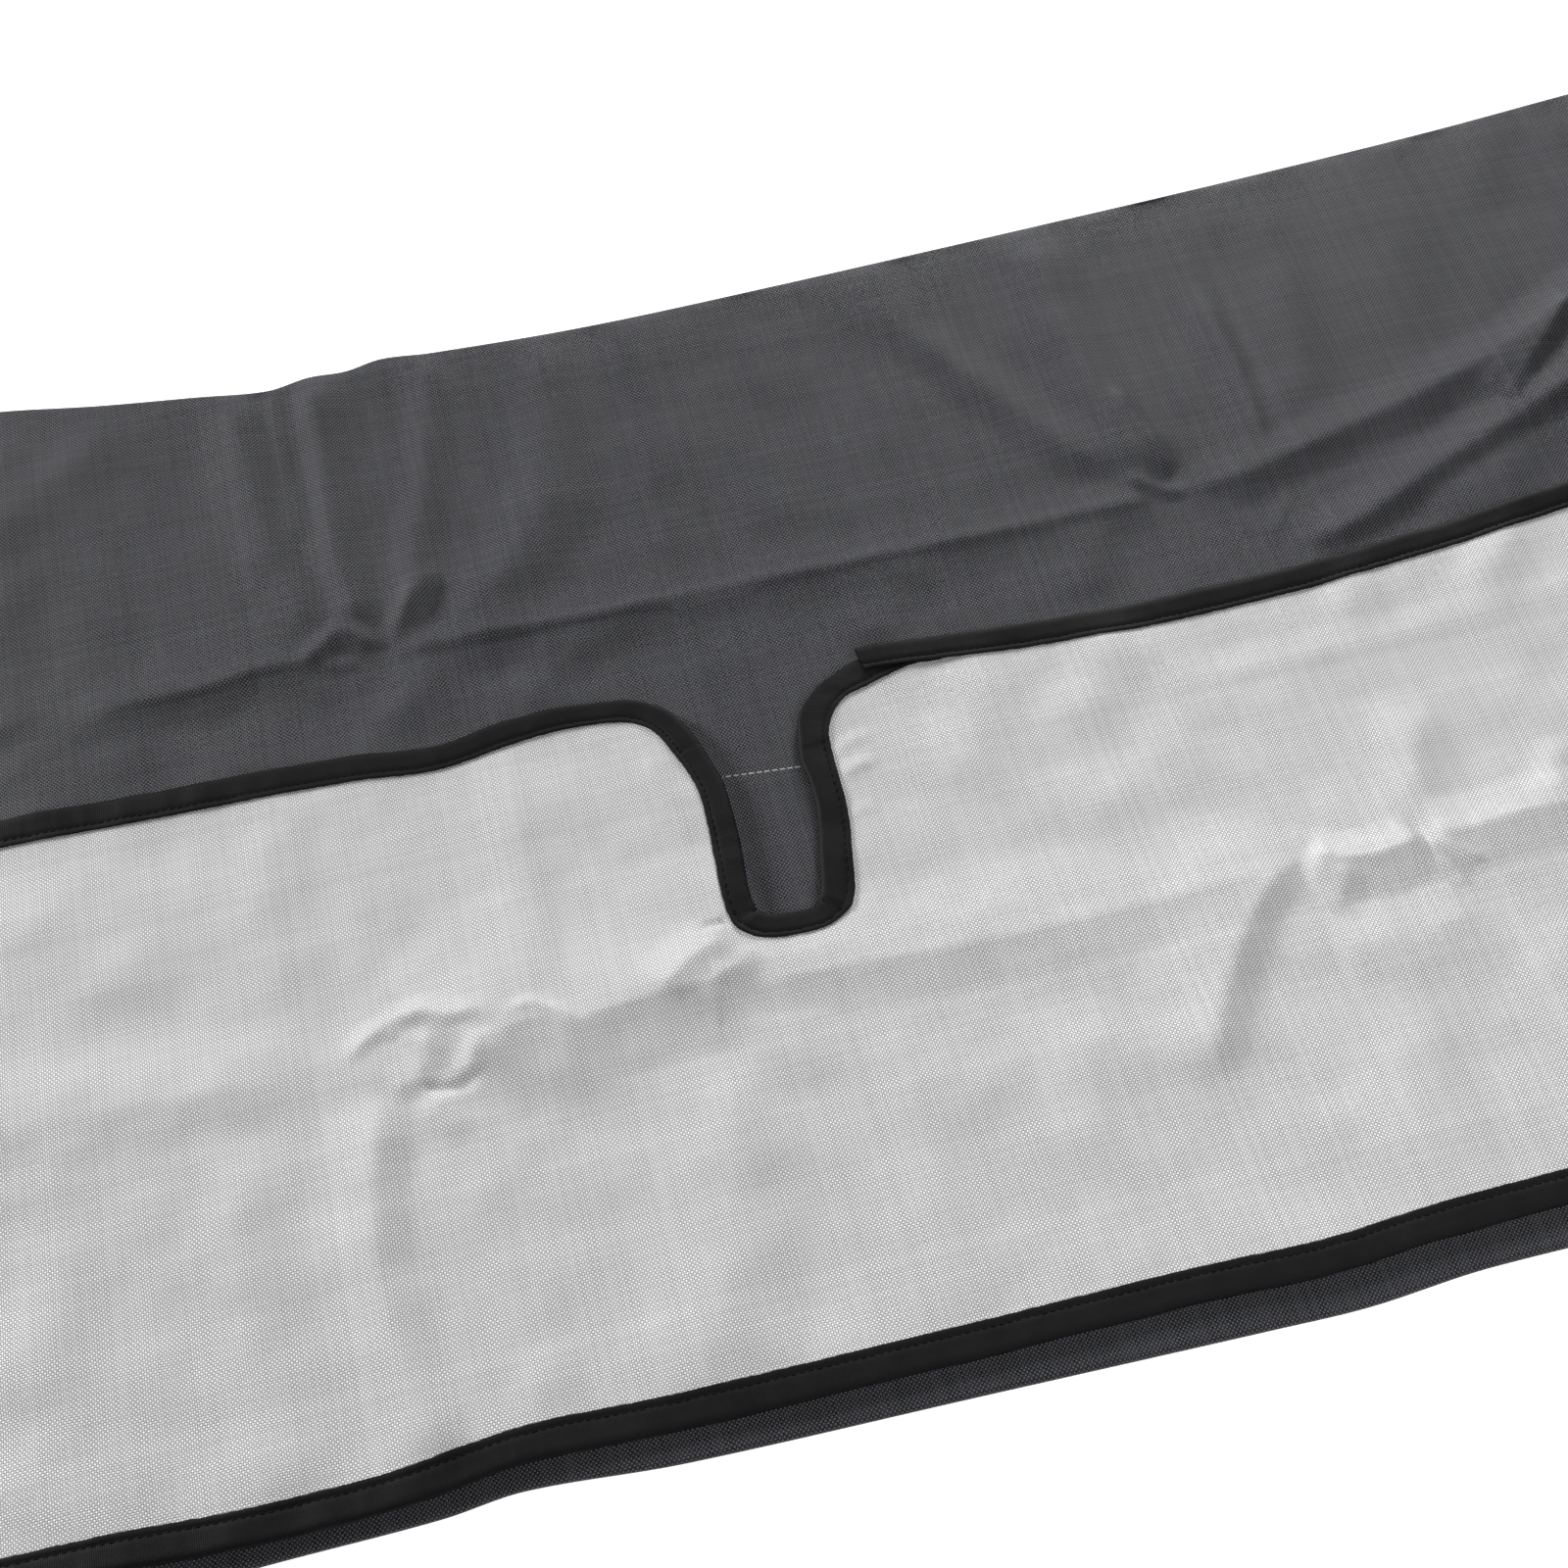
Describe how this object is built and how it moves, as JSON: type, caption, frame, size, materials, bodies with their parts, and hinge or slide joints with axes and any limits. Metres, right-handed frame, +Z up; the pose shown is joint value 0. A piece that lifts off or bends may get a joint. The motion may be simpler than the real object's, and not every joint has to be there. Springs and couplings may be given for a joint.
{
  "type": "folded outdoor chair cover",
  "caption": "Outdoor chair cover of coated Oxford cloth, folded flat, dark side up, with a tape-bound silver tail that has a U-shaped notch.",
  "frame": {"origin": "centre of the folded cover's footprint, on the surface it lies on", "axes": "+X along the folded cover from its turned end to its open end, +Y across it from the tail's lower edge to the bare dark side, +Z up"},
  "size_m": [0.8721, 0.5082, 0.0098],
  "materials": {
    "cloth": "dark grey coated Oxford weave outside, pale silver coating inside",
    "binding": "black woven binding tape, matt"
  },
  "bodies": {
    "root": {"cover_cloth": "cloth", "binding_notch": "binding", "binding_right": "binding", "binding_lower": "binding", "binding_end": "binding"}
  },
  "joints": []
}
